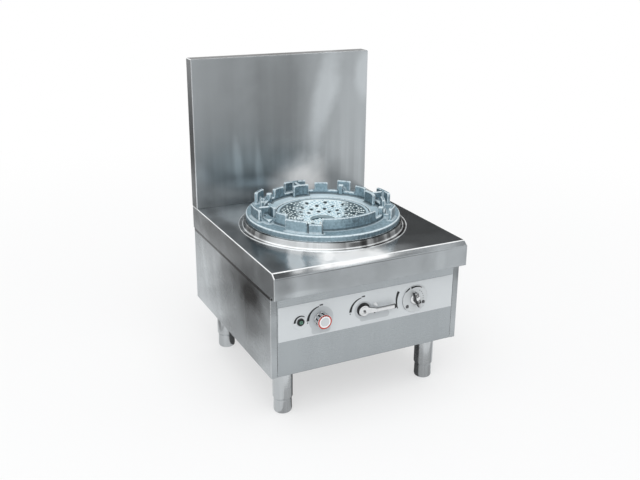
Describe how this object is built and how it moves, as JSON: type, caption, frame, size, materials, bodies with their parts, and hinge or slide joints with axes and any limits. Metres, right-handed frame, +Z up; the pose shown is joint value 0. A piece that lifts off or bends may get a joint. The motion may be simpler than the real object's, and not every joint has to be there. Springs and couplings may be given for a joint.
{
  "type": "stock pot burner",
  "caption": "Low stainless gas range with a castellated cast pot ring over a perforated burner bowl, a tall splashback, front gas and air controls and adjustable legs.",
  "frame": {"origin": "on the floor, under the centre of the deck", "axes": "+Z up from the floor, +Y from the control front to the splashback, +X to the right as seen from the front"},
  "size_m": [0.6, 0.65, 0.923],
  "materials": {
    "stainless": "satin brushed",
    "polished_steel": "polished spun",
    "ring_iron": "blue-grey painted casting",
    "bowl_iron": "pale coated casting",
    "grey_steel": "grey painted sheet",
    "label_film": "matt printed film",
    "chrome": "bright plated",
    "black_plastic": "moulded",
    "button_plastic": "moulded",
    "red_plastic": "moulded",
    "pale_plastic": "moulded",
    "brass": "machined",
    "pipe_steel": "black coated",
    "copper": "drawn tube",
    "ceramic": "glazed",
    "zinc_steel": "zinc plated",
    "lead_rubber": "insulated lead"
  },
  "bodies": {
    "cabinet": {"deck": "stainless", "deck_braces": "stainless", "left_side_panel": "stainless", "right_side_panel": "stainless", "front_panel": "stainless", "control_label": "label_film", "rear_panel": "stainless", "rear_panel_screws": "zinc_steel", "bottom_tray": "stainless", "splashback_skin": "stainless", "splashback_cover": "stainless", "splashback_posts": "zinc_steel", "splashback_bolts": "zinc_steel", "leg_nuts": "zinc_steel", "burner_collar": "polished_steel", "burner_bowl": "bowl_iron", "burner_plenum": "grey_steel", "burner_stand": "grey_steel", "air_duct": "grey_steel", "blower_housing": "grey_steel", "blower_motor": "grey_steel", "motor_saddle": "grey_steel", "button_bezel": "black_plastic", "button_nut": "black_plastic", "pilot_valve": "brass", "main_gas_valve": "brass", "air_dial_plate": "stainless", "dial_screws": "chrome", "shaft_bush": "brass", "gas_inlet_pipe": "pipe_steel", "burner_gas_pipe": "pipe_steel", "gas_injector": "brass", "pilot_pipe": "copper", "pilot_burner": "brass", "spark_electrode": "ceramic", "ignition_module": "black_plastic", "terminal_box": "black_plastic", "power_gland": "black_plastic", "wiring_leads": "lead_rubber", "leg_front_left": "stainless", "leg_front_right": "stainless", "leg_rear_left": "stainless", "leg_rear_right": "stainless"},
    "pot_ring": {"pot_ring": "ring_iron"},
    "gas_lever": {"gas_lever": "chrome", "lever_screw": "chrome", "valve_plug": "brass"},
    "regulator": {"regulator_knob": "chrome", "knob_ring": "red_plastic", "knob_cap": "pale_plastic", "pilot_stem": "brass"},
    "air_control": {"air_knob": "chrome", "damper_shaft": "zinc_steel", "damper_plate": "zinc_steel"},
    "ignition_button": {"ignition_button": "button_plastic"},
    "blower_rotor": {"blower_impeller": "zinc_steel"},
    "foot_front_left": {"foot_front_left": "stainless"},
    "foot_front_right": {"foot_front_right": "stainless"},
    "foot_rear_left": {"foot_rear_left": "stainless"},
    "foot_rear_right": {"foot_rear_right": "stainless"}
  },
  "joints": [
    {"name": "pot_ring_lift", "type": "slide", "parent": "cabinet", "child": "pot_ring", "axis": [0, 0, 1], "range_m": [0, 0.12]},
    {"name": "gas_lever_turn", "type": "hinge", "parent": "cabinet", "child": "gas_lever", "pos_m": [-0.0204, -0.294, 0.297], "axis": [0, 1, 0], "range_deg": [0, 90]},
    {"name": "regulator_turn", "type": "hinge", "parent": "cabinet", "child": "regulator", "pos_m": [-0.1503, -0.294, 0.297], "axis": [0, 1, 0], "range_deg": [0, 90]},
    {"name": "air_control_turn", "type": "hinge", "parent": "cabinet", "child": "air_control", "pos_m": [0.1485, -0.294, 0.3], "axis": [0, 1, 0], "range_deg": [-45, 45]},
    {"name": "ignition_button_press", "type": "slide", "parent": "cabinet", "child": "ignition_button", "axis": [0, 1, 0], "range_m": [0, 0.0035], "stiffness_N_per_m": 600, "springref_m": -0.004},
    {"name": "blower_spin", "type": "hinge", "parent": "cabinet", "child": "blower_rotor", "pos_m": [0.2195, 0, 0.262], "axis": [0, 1, 0], "continuous": true},
    {"name": "foot_front_left_adjust", "type": "slide", "parent": "cabinet", "child": "foot_front_left", "axis": [0, 0, -1], "range_m": [0, 0.025]},
    {"name": "foot_front_right_adjust", "type": "slide", "parent": "cabinet", "child": "foot_front_right", "axis": [0, 0, -1], "range_m": [0, 0.025]},
    {"name": "foot_rear_left_adjust", "type": "slide", "parent": "cabinet", "child": "foot_rear_left", "axis": [0, 0, -1], "range_m": [0, 0.025]},
    {"name": "foot_rear_right_adjust", "type": "slide", "parent": "cabinet", "child": "foot_rear_right", "axis": [0, 0, -1], "range_m": [0, 0.025]}
  ]
}
